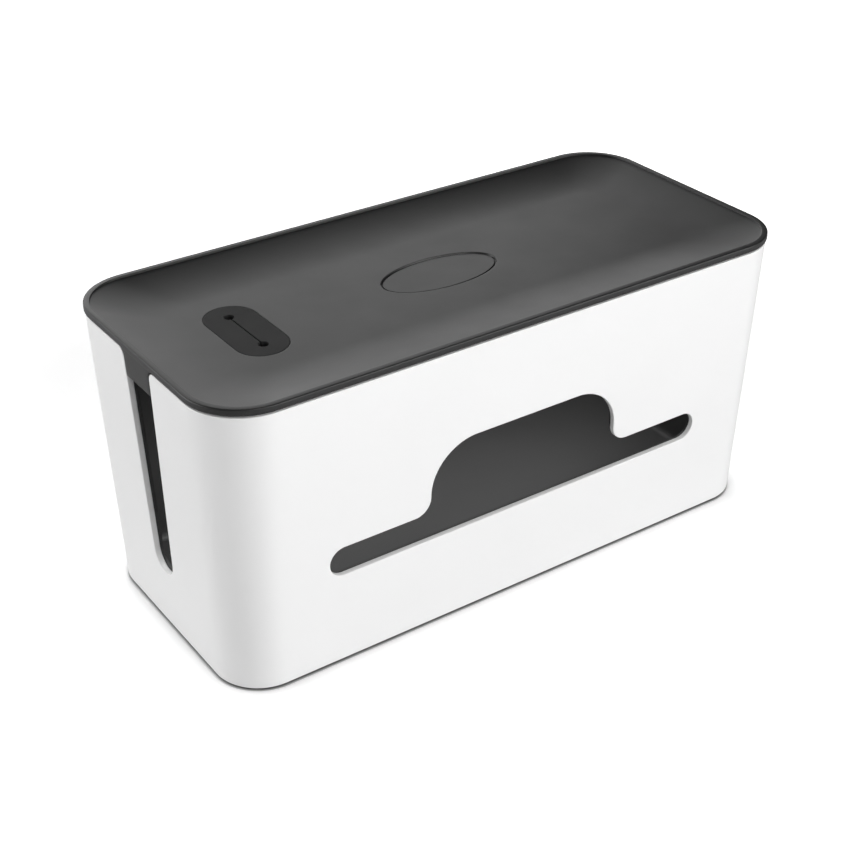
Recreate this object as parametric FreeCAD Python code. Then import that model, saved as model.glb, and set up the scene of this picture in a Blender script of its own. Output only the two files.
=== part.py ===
import FreeCAD, Part
import math
import os

# Cable management box: a white outer shell, a dark liner that nests inside it, and a dished
# lid that rests on the liner's edge. Power strips and slack cable lie in the liner; cables
# leave by the window in one long side, by a slot in each end, or up through the rubber
# grommet in the lid. Millimetres, +Z up. The origin is the middle of the box on the surface
# that the feet stand on, +X runs along the length and the window faces -Y.

# Lid, seen from above and on its edge
lid_length = 270.0
lid_width = 125.0
lid_corner_radius = 24.0
lid_edge_height = 2.7
lid_edge_bevel = 0.5
lid_overhang = 0.5

# Dished top of the lid
lid_rim_width = 2.0
lid_rim_step = 0.7
lid_thickness = 2.2
dish_depth = 5.2
dish_slope_width = 29.0
dish_floor_corner_radius = 8.0
dish_sections = 5

# Plain sunk oval in the middle of the lid
oval_length = 54.0
oval_width = 27.0
oval_depth = 0.4

# Underside of the lid: it sits on the liner, clear of the shell, and a lip drops inside
lid_gap = 0.5
lip_clearance = 0.4
lip_wall = 1.6
lip_drop = 5.0

# Outer shell, wider at its rim than at its underside
shell_height = 123.2
shell_wall = 2.4
shell_floor = 2.4
shell_base_corner_radius = 20.0
shell_base_round = 1.0
end_lean = 3.6
side_lean = 5.1

# Liner
liner_gap = 0.3
liner_wall = 1.6
liner_floor = 1.6
liner_below_rim = 0.8
liner_base_round = 2.0
liner_floor_fillet = 3.0
liner_reveal = 1.0

# Window in the long side; heights are above the shell's underside
window_half_length = 91.0
window_slot_height = 12.8
window_slot_middle = 47.8
hump_half_width = 45.4
hump_top = 83.4
hump_corner_radius = 20.8
hump_foot_radius = 7.3

# Slot in each end; heights are above the shell's underside
slot_rim_half_width = 10.5
slot_foot_radius = 7.6
slot_foot_middle = 34.6
slot_mouth_radius = 3.5

# Tongue at each end of the lid, flush in the top of the slot
tongue_drop = 11.2
tongue_clearance = 0.3
tongue_thickness = 2.4
gusset_thickness = 1.4
gusset_spread = 5.0

# Grommet in the lid
grommet_length = 45.0
grommet_width = 21.4
grommet_from_end = 46.1
grommet_flange = 1.2
grommet_flange_overlap = 3.0
grommet_bead_height = 1.4
grommet_bead_overlap = 1.6
grommet_clearance = 0.1
grommet_edge_bevel = 0.3
collar_height = 1.2
collar_width = 2.4
cable_hole_radius = 2.0
cable_hole_spacing = 26.6
slit_width = 0.5

# Feet
foot_radius = 6.0
foot_proud = 0.8
foot_recess = 1.0
foot_clearance = 0.1
foot_bevel = 0.4
foot_from_end = 22.0
foot_from_side = 16.0

# How far a cutting or joining solid runs past the face it meets
past_face = 1.0

# Steps that make up each rounded base edge of the shell and the liner, and arcs that make up
# each of their corners
round_steps = 2
wall_corner_arcs = 6

# Heights above the surface that the box stands on
underside_z = foot_proud
rim_z = underside_z + shell_height
liner_base_z = underside_z + shell_floor
liner_rim_z = rim_z - liner_below_rim
lid_under_z = rim_z + lid_gap
lid_top_z = lid_under_z + lid_edge_height
dish_step_z = lid_top_z - lid_rim_step
dish_floor_z = lid_top_z - dish_depth
tongue_z = rim_z - tongue_drop
lip_z = liner_rim_z - lip_drop

# Half sizes of the shell at its rim
rim_half_length = lid_length / 2 - lid_overhang
rim_half_width = lid_width / 2 - lid_overhang
rim_corner_radius = lid_corner_radius - lid_overhang

# Distances inwards from the shell's outer face
liner_outer_inset = shell_wall + liner_gap
liner_inner_inset = liner_outer_inset + liner_wall
lip_outer_inset = liner_inner_inset + lip_clearance
lip_inner_inset = lip_outer_inset + lip_wall
lid_seat_inset = shell_wall + lip_clearance

grommet_x = grommet_from_end - lid_length / 2


def around(centre, radius, angle):
    """Point at an angle on a circle."""
    return (centre[0] + radius * math.cos(angle), centre[1] + radius * math.sin(angle))


def rounded_rectangle(half_x, half_y, radius, z, corner_arcs=1):
    """Level rounded rectangle about the Z axis, each corner drawn as one or more equal arcs."""
    edges = []
    here = FreeCAD.Vector(half_x, radius - half_y, z)
    for quarter in range(4):
        sign_x = 1 if quarter in (0, 3) else -1
        sign_y = 1 if quarter in (0, 1) else -1
        centre = (sign_x * (half_x - radius), sign_y * (half_y - radius))
        for arc in range(corner_arcs):
            points = []
            for turn in (0.0, 0.5, 1.0):
                angle = math.pi / 2 * (quarter + (arc + turn) / corner_arcs)
                points.append(FreeCAD.Vector(*around(centre, radius, angle), z))
            if arc == 0:
                edges.append(Part.LineSegment(here, points[0]).toShape())
            edges.append(Part.Arc(*points).toShape())
            here = points[-1]
    return Part.Wire(edges)


def wall_outline(z, inset):
    """Outline of the leaning walls at a height, moved inwards by inset from the outer face."""
    rise = (z - underside_z) / shell_height
    half_x = rim_half_length - end_lean * (1 - rise) - inset
    half_y = rim_half_width - side_lean * (1 - rise) - inset
    corner_change = rim_corner_radius - shell_base_corner_radius
    radius = shell_base_corner_radius + corner_change * rise - inset
    return rounded_rectangle(half_x, half_y, radius, z, wall_corner_arcs)


def wall_block(low_z, high_z, inset, base_round=0.0):
    """Solid between two heights inside the leaning walls, its base edge rounded where asked."""
    outlines = []
    if base_round > 0:
        for step in range(round_steps):
            angle = math.pi / 2 * step / round_steps
            z = low_z + base_round * (1 - math.cos(angle))
            outlines.append(wall_outline(z, inset + base_round * (1 - math.sin(angle))))
    outlines.append(wall_outline(low_z + base_round, inset))
    outlines.append(wall_outline(high_z, inset))
    return Part.makeLoft(outlines, True, True)


def wall_band(low_z, high_z, outer_inset, inner_inset):
    """Closed band that follows the leaning walls between two insets."""
    inside = wall_block(low_z - past_face, high_z + past_face, inner_inset)
    return wall_block(low_z, high_z, outer_inset).cut(inside)


def level_edges(shape, z):
    """The edges of a shape that lie level at one height."""
    found = []
    for edge in shape.Edges:
        box = edge.BoundBox
        if abs(box.ZMin - z) < 0.001 and abs(box.ZMax - z) < 0.001:
            found.append(edge)
    return found


def prism(wire, height):
    """Upright solid on a level wire."""
    return Part.Face(wire).extrude(FreeCAD.Vector(0, 0, height))


def mirrored_loop(start, moves):
    """Moves of a half outline that begins on the middle line, then the other half back to it."""
    ends = [start] + [move[-1] for move in moves]
    loop = list(moves)
    loop.append([(-ends[-1][0], ends[-1][1])])
    for index in reversed(range(len(moves))):
        way_back = moves[index][:-1] + [ends[index]]
        loop.append([(-u, w) for u, w in way_back])
    return loop


def symmetric_face(start, moves, place):
    """Face in an outline of moves: one point ends a straight run, two are an arc's middle and end."""
    edges = []
    here = place(*start)
    for move in mirrored_loop(start, moves):
        points = [place(*point) for point in move]
        if len(points) == 1:
            edges.append(Part.LineSegment(here, points[0]).toShape())
        else:
            edges.append(Part.Arc(here, points[0], points[1]).toShape())
        here = points[-1]
    return Part.Face(Part.Wire(edges))


def window_cutter(grow):
    """Solid through the -Y side in the window's shape: a long low slot under a rounded hump."""
    quarter = math.pi / 4
    slot_radius = window_slot_height / 2
    middle_z = underside_z + window_slot_middle
    slot_top = middle_z + slot_radius
    top = underside_z + hump_top
    tallest_corner = min(top - slot_top - hump_foot_radius, hump_half_width) - past_face
    corner_radius = min(hump_corner_radius, tallest_corner)

    end = (window_half_length - slot_radius, middle_z)
    foot = (hump_half_width + hump_foot_radius, slot_top + hump_foot_radius)
    corner = (hump_half_width - corner_radius, top - corner_radius)
    end_round = slot_radius + grow
    foot_round = hump_foot_radius - grow
    corner_round = corner_radius + grow
    start = (0.0, middle_z - end_round)
    moves = [
        [around(end, end_round, -2 * quarter)],
        [around(end, end_round, 0.0), around(end, end_round, 2 * quarter)],
        [around(foot, foot_round, -2 * quarter)],
        [around(foot, foot_round, -3 * quarter), around(foot, foot_round, 4 * quarter)],
        [around(corner, corner_round, 0.0)],
        [around(corner, corner_round, quarter), around(corner, corner_round, 2 * quarter)],
    ]
    face = symmetric_face(start, moves, lambda u, w: FreeCAD.Vector(u, 0, w))
    return face.extrude(FreeCAD.Vector(0, -rim_half_width - past_face, 0))


def slot_cutter(end, grow, top_z):
    """Solid through one end wall in the slot's shape: open at the top, narrower at its round foot."""
    foot = (0.0, underside_z + slot_foot_middle)
    mouth_z = rim_z - slot_mouth_radius
    height = rim_z - foot[1]
    slant = math.hypot(height, slot_rim_half_width)
    lean = math.acos(slot_foot_radius / slant) - math.atan2(height, slot_rim_half_width)
    side_at_mouth = slot_foot_radius / math.cos(lean) + (mouth_z - foot[1]) * math.tan(lean)
    mouth = (side_at_mouth + slot_mouth_radius / math.cos(lean), mouth_z)

    foot_round = slot_foot_radius + grow
    mouth_round = slot_mouth_radius - grow
    down = -math.pi / 2
    flat_in = math.pi - lean
    start = around(foot, foot_round, down)
    moves = [
        [around(foot, foot_round, (down - lean) / 2), around(foot, foot_round, -lean)],
        [around(mouth, mouth_round, flat_in)],
        [around(mouth, mouth_round, (flat_in - down) / 2), around(mouth, mouth_round, -down)],
        [(mouth[0], top_z)],
    ]
    face = symmetric_face(start, moves, lambda u, w: FreeCAD.Vector(end * rim_half_length / 2, u, w))
    return face.extrude(FreeCAD.Vector(end * (rim_half_length / 2 + past_face), 0, 0))


def cable_openings(grow, top_z):
    """The window and both end slots as one cutting solid, each edge moved outwards by grow."""
    slots = [slot_cutter(end, grow, top_z) for end in (-1, 1)]
    return window_cutter(grow).fuse(slots)


def foot_places():
    """Name and centre of each foot, set in from the edges of the shell's underside."""
    x = rim_half_length - end_lean - foot_from_end
    y = rim_half_width - side_lean - foot_from_side
    return {
        "foot_window_left": (-x, -y),
        "foot_window_right": (x, -y),
        "foot_back_left": (-x, y),
        "foot_back_right": (x, y),
    }


def outer_shell():
    """Leaning walls and a floor, open at the top, with the cable openings and seats for the feet."""
    body = wall_block(underside_z, rim_z, 0.0, shell_base_round)
    inside = wall_block(liner_base_z, rim_z + past_face, shell_wall)
    body = body.cut(inside).cut(cable_openings(0.0, rim_z + past_face))
    for x, y in foot_places().values():
        seat_base = FreeCAD.Vector(x, y, underside_z - past_face)
        seat = Part.makeCylinder(foot_radius + foot_clearance, foot_recess + past_face, seat_base)
        body = body.cut(seat)
    return body


def inner_liner():
    """Thin box that stands on the shell's floor and carries the lid on its rim."""
    body = wall_block(liner_base_z, liner_rim_z, liner_outer_inset, liner_base_round)
    floor_z = liner_base_z + liner_floor
    inside_top_z = liner_rim_z + past_face
    inside = wall_block(floor_z, inside_top_z, liner_inner_inset, liner_floor_fillet)
    return body.cut(inside).cut(cable_openings(liner_reveal, liner_rim_z + past_face))


def dish_block(drop):
    """Space of the dished top, lowered by drop: a straight step, then a slope that levels out."""
    half_x = lid_length / 2 - lid_rim_width
    half_y = lid_width / 2 - lid_rim_width
    radius = lid_corner_radius - lid_rim_width
    step_z = dish_step_z - drop
    slope_height = dish_step_z - dish_floor_z
    outlines = []
    for section in range(dish_sections + 1):
        share = section / dish_sections
        inwards = share * dish_slope_width
        corner = radius + (dish_floor_corner_radius - radius) * share
        z = step_z - slope_height * (1 - (1 - share) ** 2)
        outlines.append(rounded_rectangle(half_x - inwards, half_y - inwards, corner, z))
    slope = Part.makeLoft(outlines, True, True)
    rise = lid_top_z + past_face - step_z
    return slope.fuse(prism(rounded_rectangle(half_x, half_y, radius, step_z), rise))


def stadium(length, width, low_z, high_z):
    """Upright solid with straight sides along Y and full round ends, at the grommet's place."""
    radius = width / 2
    centre_y = length / 2 - radius
    ends = []
    for side in (1, -1):
        points = []
        for angle in (0.0, math.pi / 2, math.pi):
            x = grommet_x + side * radius * math.cos(angle)
            y = side * (centre_y + radius * math.sin(angle))
            points.append(FreeCAD.Vector(x, y, low_z))
        ends.append(Part.Arc(*points).toShape())
    edges = []
    for index in range(2):
        leave = ends[index].Vertexes[-1].Point
        arrive = ends[1 - index].Vertexes[0].Point
        edges.append(ends[index])
        edges.append(Part.LineSegment(leave, arrive).toShape())
    return prism(Part.Wire(edges), high_z - low_z)


def grommet_stem_size():
    """Length and width of the grommet's stem, which stands in the lid's hole."""
    overlap = 2 * grommet_flange_overlap
    return grommet_length - overlap, grommet_width - overlap


def collar_under_z():
    """Height of the face under the lid that the grommet's bead grips."""
    return dish_floor_z - lid_thickness - collar_height


def grommet_seat():
    """Hole in the lid with a sunk ledge for the grommet's flange."""
    play = 2 * grommet_clearance
    length, width = grommet_stem_size()
    ledge_z = dish_floor_z - grommet_flange
    sunk = stadium(grommet_length + play, grommet_width + play, ledge_z, dish_floor_z + past_face)
    hole = stadium(length + play, width + play, collar_under_z() - past_face, ledge_z + past_face)
    return sunk.fuse(hole)


def lid_tongue(end):
    """Tongue that closes the top of one slot, flush with the shell, tied to the lip by gussets."""
    root_z = lid_under_z + past_face
    tongue = wall_band(tongue_z, root_z, 0.0, tongue_thickness)
    tongue = tongue.common(slot_cutter(end, -tongue_clearance, root_z))
    bridge = wall_band(lip_z, root_z, tongue_thickness / 2, (lip_outer_inset + lip_inner_inset) / 2)
    for side in (-1, 1):
        corner_x = min(end * rim_half_length / 2, end * (rim_half_length + past_face))
        corner = FreeCAD.Vector(corner_x, side * gusset_spread - gusset_thickness / 2, lip_z)
        slab_length = rim_half_length / 2 + past_face
        slab = Part.makeBox(slab_length, gusset_thickness, root_z - lip_z, corner)
        tongue = tongue.fuse(bridge.common(slab))
    return tongue


def lid_underside():
    """Level seat for the liner's rim, the lip inside it, and the underside of the dish."""
    root_z = lid_under_z + past_face
    seat = wall_band(liner_rim_z, root_z, lid_seat_inset, lip_inner_inset)
    lip = wall_band(lip_z, root_z, lip_outer_inset, lip_inner_inset)
    inside_lip = wall_block(collar_under_z(), lid_top_z, (lip_outer_inset + lip_inner_inset) / 2)
    return dish_block(lid_thickness).common(inside_lip).fuse([seat, lip])


def lid():
    """Dished moulding: flat rim, seat and lip, end tongues, grommet collar and sunk oval."""
    plate_outline = rounded_rectangle(lid_length / 2, lid_width / 2, lid_corner_radius, lid_under_z)
    plate = prism(plate_outline, lid_edge_height)
    plate = plate.makeChamfer(lid_edge_bevel, level_edges(plate, lid_top_z))
    collar_length = grommet_length + 2 * collar_width
    collar_full_width = grommet_width + 2 * collar_width
    collar_top_z = dish_floor_z - lid_thickness / 2
    collar = stadium(collar_length, collar_full_width, collar_under_z(), collar_top_z)
    body = plate.fuse([lid_underside(), lid_tongue(-1), lid_tongue(1)])
    body = body.cut(dish_block(0.0)).fuse(collar).cut(grommet_seat())

    oval_centre = FreeCAD.Vector(0, 0, dish_floor_z - oval_depth)
    ellipse = Part.Ellipse(oval_centre, oval_length / 2, oval_width / 2)
    oval = prism(Part.Wire(ellipse.toShape()), oval_depth + past_face)
    return body.cut(oval).removeSplitter()


def cable_grommet():
    """Rubber grommet: flange level with the lid, stem, bead below, two cable holes and a slit."""
    top_z = dish_floor_z
    grip_z = collar_under_z()
    bead_z = grip_z - grommet_bead_height
    stem_length, stem_width = grommet_stem_size()
    bead = 2 * grommet_bead_overlap
    flange = stadium(grommet_length, grommet_width, top_z - grommet_flange, top_z)
    flange = flange.makeChamfer(grommet_edge_bevel, level_edges(flange, top_z))
    stem = stadium(stem_length, stem_width, bead_z, top_z - grommet_flange)
    foot = stadium(stem_length + bead, stem_width + bead, bead_z, grip_z)
    body = flange.fuse([stem, foot])

    depth = top_z - bead_z + 2 * past_face
    low_z = bead_z - past_face
    slit_corner = FreeCAD.Vector(grommet_x - slit_width / 2, -cable_hole_spacing / 2, low_z)
    body = body.cut(Part.makeBox(slit_width, cable_hole_spacing, depth, slit_corner))
    for side in (-1, 1):
        base = FreeCAD.Vector(grommet_x, side * cable_hole_spacing / 2, low_z)
        body = body.cut(Part.makeCylinder(cable_hole_radius, depth, base))
    return body.removeSplitter()


def foot(x, y):
    """Round rubber pad, bevelled where it meets the table."""
    pad = Part.makeCylinder(foot_radius, foot_proud + foot_recess, FreeCAD.Vector(x, y, 0))
    return pad.makeChamfer(foot_bevel, level_edges(pad, 0.0))


pieces = {
    "outer_shell": outer_shell(),
    "inner_liner": inner_liner(),
    "lid": lid(),
    "cable_grommet": cable_grommet(),
}
for foot_name, (foot_x, foot_y) in foot_places().items():
    pieces[foot_name] = foot(foot_x, foot_y)

os.makedirs("parts", exist_ok=True)
for piece_name, shape in pieces.items():
    shape.exportStep("parts/" + piece_name + ".step")
    print(piece_name, len(shape.Solids), "solid", round(shape.Volume / 1000, 2), "cm3", shape.isValid())
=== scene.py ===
import math

import bmesh
import bpy
import numpy as np
from mathutils import Matrix, Vector


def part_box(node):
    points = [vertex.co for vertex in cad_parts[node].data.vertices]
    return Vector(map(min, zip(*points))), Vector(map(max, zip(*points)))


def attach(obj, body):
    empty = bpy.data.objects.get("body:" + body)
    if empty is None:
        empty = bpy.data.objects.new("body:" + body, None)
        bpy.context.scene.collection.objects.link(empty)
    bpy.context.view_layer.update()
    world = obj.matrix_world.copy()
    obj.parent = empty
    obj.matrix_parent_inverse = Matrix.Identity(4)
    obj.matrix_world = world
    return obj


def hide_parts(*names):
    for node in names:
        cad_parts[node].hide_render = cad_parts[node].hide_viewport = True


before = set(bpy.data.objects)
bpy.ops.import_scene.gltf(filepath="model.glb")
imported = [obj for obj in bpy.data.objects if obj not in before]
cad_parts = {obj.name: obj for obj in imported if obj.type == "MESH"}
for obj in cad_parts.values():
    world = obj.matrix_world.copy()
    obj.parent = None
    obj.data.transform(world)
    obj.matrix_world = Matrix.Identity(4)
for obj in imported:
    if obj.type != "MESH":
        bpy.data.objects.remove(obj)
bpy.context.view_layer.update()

bl_info = {
    "name": "Cable Management Box",
    "version": (1, 0, 0),
    "blender": (4, 5, 0),
    "location": "3D View > Sidebar > Cable Box",
    "description": "Builds the shell, liner, dished lid, grommet and feet of a cable box",
    "category": "Add Mesh",
}

shell_low, shell_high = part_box("outer_shell")
liner_low, liner_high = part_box("inner_liner")
lid_low, lid_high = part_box("lid")
grommet_low, grommet_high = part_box("cable_grommet")
foot_low, foot_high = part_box("foot_back_right")
grommet_x = (grommet_low.x + grommet_high.x) / 2

# One millimetre in metres, and a right angle in radians
MM = 0.001
RIGHT = math.pi / 2


def length(label, text, default):
    """A size in metres, shown in the scene's length unit."""
    return bpy.props.FloatProperty(
        name=label, description=text, default=default, min=0.0, precision=5,
        subtype="DISTANCE", unit="LENGTH",
    )


def shade(label, text, default):
    """A linear colour without alpha."""
    return bpy.props.FloatVectorProperty(
        name=label, description=text, default=default, min=0.0, max=1.0, size=3, subtype="COLOR",
    )


def amount(label, text, default, top=1.0):
    """A plain number from nought to top."""
    return bpy.props.FloatProperty(name=label, description=text, default=default, min=0.0, max=top)


def power(label, text, default):
    """A lamp's power in watts."""
    return bpy.props.FloatProperty(
        name=label, description=text, default=default, min=0.0, max=400.0, subtype="POWER",
        unit="POWER",
    )


class CableBoxWalls(bpy.types.PropertyGroup):
    """Leaning walls that the shell and the liner share."""
    corner_radius: length("Rim corner radius", "Radius of the shell's corners at its rim", 23.5 * MM)
    base_corner_radius: length("Base corner radius", "Radius of the corners at the base", 20 * MM)
    end_lean: length("End lean", "How far each end wall leans out from base to rim", 3.6 * MM)
    side_lean: length("Side lean", "How far each side wall leans out from base to rim", 5.1 * MM)
    shell_wall: length("Shell wall", "Thickness of the white wall", 2.4 * MM)
    shell_floor: length("Shell floor", "Thickness of the white floor", 2.4 * MM)
    shell_base_round: length("Shell base round", "Rounding of the shell's lower edge", 1.0 * MM)
    liner_wall: length("Liner wall", "Thickness of the liner's wall", 1.6 * MM)
    liner_floor: length("Liner floor", "Thickness of the liner's floor", 1.6 * MM)
    liner_base_round: length("Liner base round", "Rounding of the liner's lower edge", 2.0 * MM)
    liner_floor_fillet: length("Liner fillet", "Rounding inside the liner's floor", 3.0 * MM)
    liner_reveal: length("Liner reveal", "How far the liner's openings stand back", 1.0 * MM)
    rim_gap: length("Rim gap", "How much lower the shell's rim shows under the lid", 0.45 * MM)
    edge_radius: length("Edge radius", "Rounding of every moulded edge of the shell", 0.35 * MM)
    foot_recess: length("Foot recess", "Depth of the seat for each foot", 1.0 * MM)
    foot_clearance: length("Foot clearance", "Gap around each foot in its seat", 0.1 * MM)


class CableBoxOpenings(bpy.types.PropertyGroup):
    """Window and end slots; heights are above the shell's underside."""
    window_half: length("Window half length", "Middle of the window to its end", 91 * MM)
    slot_height: length("Window slot height", "Height of the long low slot", 12.8 * MM)
    slot_middle: length("Window slot middle", "Height of the slot's middle line", 47.8 * MM)
    hump_half: length("Hump half width", "Half the width of the raised part", 45.4 * MM)
    hump_top: length("Hump top", "Height of the hump's top edge", 83.4 * MM)
    hump_corner: length("Hump corner radius", "Radius of the hump's upper corners", 20.8 * MM)
    hump_foot: length("Hump foot radius", "Radius where the hump meets the slot", 7.3 * MM)
    end_rim_half: length("End slot half width", "Half width of an end slot at the rim", 10.5 * MM)
    end_foot: length("End slot foot radius", "Radius of an end slot's round foot", 7.6 * MM)
    end_foot_middle: length("End slot foot height", "Height of the round foot's centre", 34.6 * MM)
    end_mouth: length("End slot mouth radius", "Flare where an end slot meets the rim", 3.5 * MM)


class CableBoxLid(bpy.types.PropertyGroup):
    """Dished lid with its seat, lip and tongues."""
    corner_radius: length("Corner radius", "Corner radius of the lid's edge", 24 * MM)
    edge_height: length("Edge height", "Height of the lid's outer edge", 2.7 * MM)
    edge_round: length("Edge round", "Rounding of the lid's upper edge", 0.6 * MM)
    rim_width: length("Rim width", "Width of the flat rim", 2.6 * MM)
    rim_step: length("Rim step", "Step down inside the rim", 0.7 * MM)
    thickness: length("Thickness", "Thickness of the dished plate", 2.2 * MM)
    slope_width: length("Slope width", "Plan width of the dish's slope", 28.4 * MM)
    floor_corner: length("Floor corner radius", "Corner radius of the dish's flat floor", 8 * MM)
    oval_length: length("Oval length", "Length of the sunk oval", 54 * MM)
    oval_width: length("Oval width", "Width of the sunk oval", 27 * MM)
    oval_depth: length("Oval depth", "Depth of the sunk oval", 0.4 * MM)
    oval_groove: length("Oval groove", "Depth of the fine groove round the sunk oval", 0.5 * MM)
    lip_drop: length("Lip drop", "How far the lip reaches below the liner's rim", 5.0 * MM)
    lip_wall: length("Lip wall", "Thickness of the lip", 1.6 * MM)
    lip_clearance: length("Lip clearance", "Gap between the lip and the liner", 0.4 * MM)
    tongue_clearance: length("Tongue clearance", "Gap around each tongue in its slot", 0.3 * MM)
    gusset_thickness: length("Gusset thickness", "Thickness of each rib behind a tongue", 1.4 * MM)
    gusset_spread: length("Gusset spread", "Middle of the tongue to each rib", 5.0 * MM)
    collar_height: length("Collar height", "Depth of the collar under the grommet", 1.2 * MM)
    collar_width: length("Collar width", "Width of that collar", 2.4 * MM)


class CableBoxGrommet(bpy.types.PropertyGroup):
    """Rubber grommet in the lid, and the rubber feet."""
    flange: length("Flange", "Thickness of the flange", 1.2 * MM)
    flange_overlap: length("Flange overlap", "Flange beyond the stem", 3.0 * MM)
    bead_height: length("Bead height", "Height of the bead below the collar", 1.4 * MM)
    bead_overlap: length("Bead overlap", "Bead beyond the stem", 1.6 * MM)
    clearance: length("Clearance", "Gap around the grommet in the lid", 0.1 * MM)
    edge_round: length("Edge round", "Rounding of the rubber's edges", 0.3 * MM)
    hole_radius: length("Hole radius", "Radius of each cable hole", 2.0 * MM)
    hole_spacing: length("Hole spacing", "Distance between the two holes", 26.6 * MM)
    slit_width: length("Slit width", "Width of the slit between the holes", 0.5 * MM)
    foot_round: length("Foot round", "Rounding of each foot's lower edge", 0.4 * MM)


class CableBoxFinish(bpy.types.PropertyGroup):
    """Colours and roughness of the materials."""
    shell_colour: shade("Shell colour", "White of the shell", (0.90, 0.90, 0.90))
    liner_colour: shade("Liner colour", "Dark grey of the liner", (0.050, 0.050, 0.050))
    lid_colour: shade("Lid colour", "Dark grey of the lid", (0.020, 0.020, 0.020))
    rubber_colour: shade("Rubber colour", "Near black of the rubber", (0.020, 0.020, 0.020))
    floor_colour: shade("Floor colour", "White of the studio floor", (0.86, 0.86, 0.86))
    shell_roughness: amount("Shell roughness", "Roughness of the shell", 0.32)
    liner_roughness: amount("Liner roughness", "Roughness of the liner", 0.50)
    lid_roughness: amount("Lid roughness", "Roughness of the lid", 0.42)
    rubber_roughness: amount("Rubber roughness", "Roughness of the rubber", 0.62)


class CableBoxStage(bpy.types.PropertyGroup):
    """Camera and light of the studio."""
    camera_turn: bpy.props.FloatProperty(
        name="Camera turn", description="Camera's turn from the window side towards the left end",
        default=math.radians(-34.44), subtype="ANGLE", unit="ROTATION",
    )
    camera_height: bpy.props.FloatProperty(
        name="Camera height", description="Camera's angle above the horizon",
        default=math.radians(30.902), subtype="ANGLE", unit="ROTATION",
    )
    camera_roll: bpy.props.FloatProperty(
        name="Camera roll", description="Camera's turn about its own line of sight",
        default=math.radians(-0.325), subtype="ANGLE", unit="ROTATION",
    )
    camera_distance: length("Camera distance", "Camera to the point it looks at", 672.57 * MM)
    target_height: length("Target height", "Height of the point that the camera looks past", 46.98 * MM)
    target_left: length("Target left", "Camera's aim to the left of that point", 6.233 * MM)
    target_up: length("Target up", "Camera's aim above that point", 2.611 * MM)
    lens: bpy.props.FloatProperty(
        name="Lens", description="Focal length on a 36 mm wide sensor", default=66.595,
        min=1.0, subtype="DISTANCE_CAMERA",
    )
    ambient: amount("Ambient", "Strength of the even light from all round", 0.05, 4.0)
    front_left_light: power("Front left light", "Softbox in front of the window's left part", 1.99)
    right_light: power("Right light", "Softbox low to the right of the window", 15.2)
    left_light: power("Left light", "Softbox beyond the left end", 14.5)
    rear_light: power("Rear light", "Softbox behind the left end", 3.0)
    back_light: power("Back light", "Softbox behind the box", 6.0)
    far_light: power("Far light", "Softbox opposite the camera", 2.97)
    high_light: power("High light", "Softbox raised opposite the camera", 2.94)
    inner_light: power("Inner light", "Small panel under the lid", 0.0854)


class CableBoxSettings(bpy.types.PropertyGroup):
    """Everything that the panel offers."""
    walls: bpy.props.PointerProperty(type=CableBoxWalls)
    openings: bpy.props.PointerProperty(type=CableBoxOpenings)
    lid: bpy.props.PointerProperty(type=CableBoxLid)
    grommet: bpy.props.PointerProperty(type=CableBoxGrommet)
    finish: bpy.props.PointerProperty(type=CableBoxFinish)
    stage: bpy.props.PointerProperty(type=CableBoxStage)


def settings():
    """The scene's settings for the box."""
    return bpy.context.scene.cable_box


# Outlines and surfaces

def run(start, end, steps):
    """Straight run of points from start to end: start + share * (end - start), without the last."""
    share = np.linspace(0.0, 1.0, steps, endpoint=False)[:, None]
    return np.asarray(start) + share * (np.asarray(end) - np.asarray(start))


def arc(centre, radius, start, end, steps):
    """Points on a circle from one angle to another: centre + radius * (cos, sin), without the last."""
    angle = np.linspace(start, end, steps, endpoint=False)
    return np.asarray(centre) + radius * np.stack([np.cos(angle), np.sin(angle)], axis=-1)


def quarter_path(side_shares, corner_steps, end_shares):
    """Path round a quarter outline, from the middle of a long side to the middle of an end.

    Each column holds the shares of the two straight half runs and the outward angle."""
    angle = np.linspace(RIGHT, 0.0, corner_steps + 1)
    side = np.stack([side_shares, np.ones_like(side_shares), np.full_like(side_shares, RIGHT)])
    corner = np.stack([np.ones_like(angle), np.ones_like(angle), angle])
    end = np.stack([np.ones_like(end_shares), end_shares, np.zeros_like(end_shares)])
    return np.concatenate([side[:, :-1], corner, end[:, 1:]], axis=1)


def whole_path(side_shares, corner_steps, end_shares):
    """Closed path round a rounded rectangle: four quarters, every second one walked backwards."""
    quarter = quarter_path(side_shares, corner_steps, end_shares)
    share_x, share_y, angle = quarter
    right_back = quarter[:, ::-1]
    right_front = np.stack([share_x, -share_y, -angle])
    left_front = np.stack([-share_x, -share_y, angle - 2 * RIGHT])[:, ::-1]
    left_back = np.stack([-share_x, share_y, 2 * RIGHT - angle])
    parts = [right_back[:, :-1], left_back[:, :-1], left_front[:, :-1], right_front]
    return np.concatenate(parts, axis=1)


def as_rows(*values):
    """Numbers and lists of numbers brought to one length, each as a column."""
    return [row[:, None] for row in np.broadcast_arrays(*np.atleast_1d(*values))]


def carry(path, half_x, half_y, radius, z):
    """Rounded rectangles stacked into one surface, one row for each half size.

    A point is its share of the straight half run plus the corner radius along its outward angle:
    x = share_x * (half_x - radius) + radius * cos(angle), and the same for y with sin."""
    share_x, share_y, angle = path
    half_x, half_y, radius, z = as_rows(half_x, half_y, radius, z)
    x = share_x * (half_x - radius) + radius * np.cos(angle)
    y = share_y * (half_y - radius) + radius * np.sin(angle)
    return np.stack([x, y, z + 0 * x], axis=-1)


def ruled(first, last, rows):
    """Surface between two lines of points: first + share * (last - first)."""
    share = np.linspace(0.0, 1.0, rows + 1)[:, None, None]
    return first + share * (last - first)


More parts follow.
